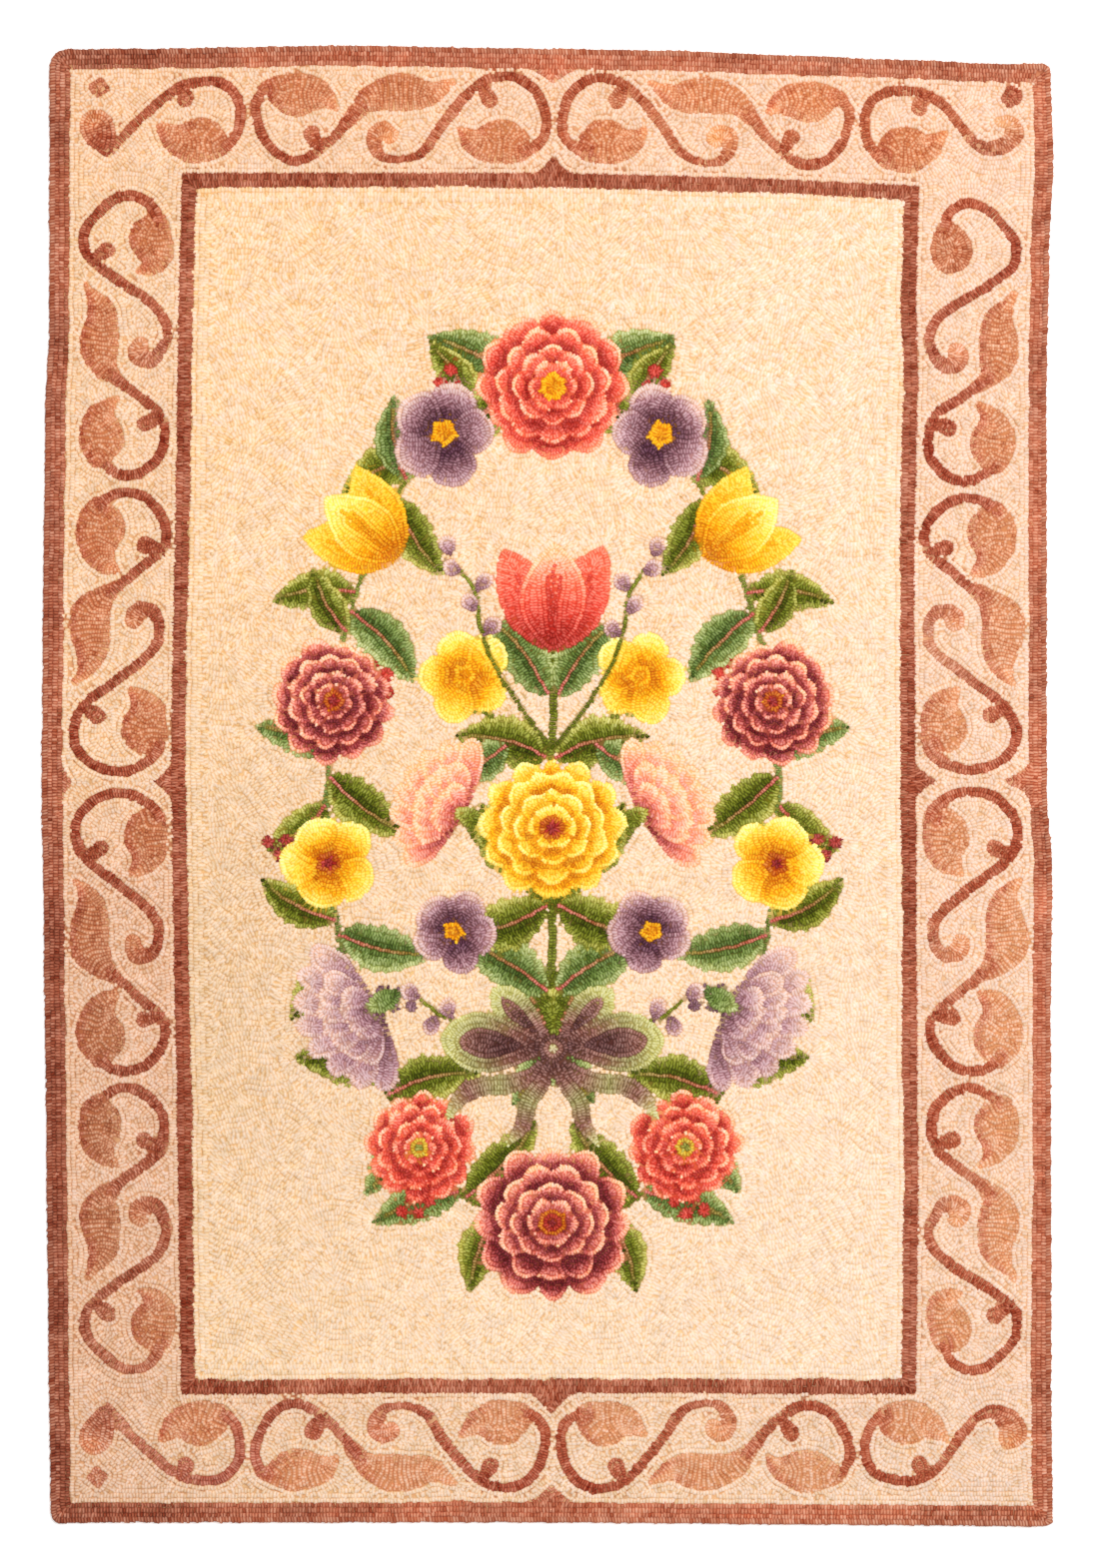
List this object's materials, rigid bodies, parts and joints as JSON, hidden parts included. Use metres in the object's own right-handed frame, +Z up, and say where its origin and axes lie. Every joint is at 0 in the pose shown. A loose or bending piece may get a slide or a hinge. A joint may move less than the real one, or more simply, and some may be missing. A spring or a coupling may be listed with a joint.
{
  "type": "hooked rug",
  "caption": "Hooked wool rug laid flat, with a flower wreath field, a leaf scroll border and a whipped edge.",
  "frame": {"origin": "middle of the rug's outline, on the surface that the rug lies on", "axes": "+X across the rug, +Y along it towards the top of its design, +Z up out of the pile"},
  "size_m": [1.0138, 1.4842, 0.0068],
  "materials": {
    "hooked_wool": "looped wool pile, matt, cream field with rose and terracotta border and many-coloured flowers",
    "whipping_yarn": "tightly whipped wool yarn, matt red-brown"
  },
  "bodies": {
    "root": {"hooked_rug_body": "hooked_wool", "whipped_binding": "whipping_yarn"}
  },
  "joints": []
}
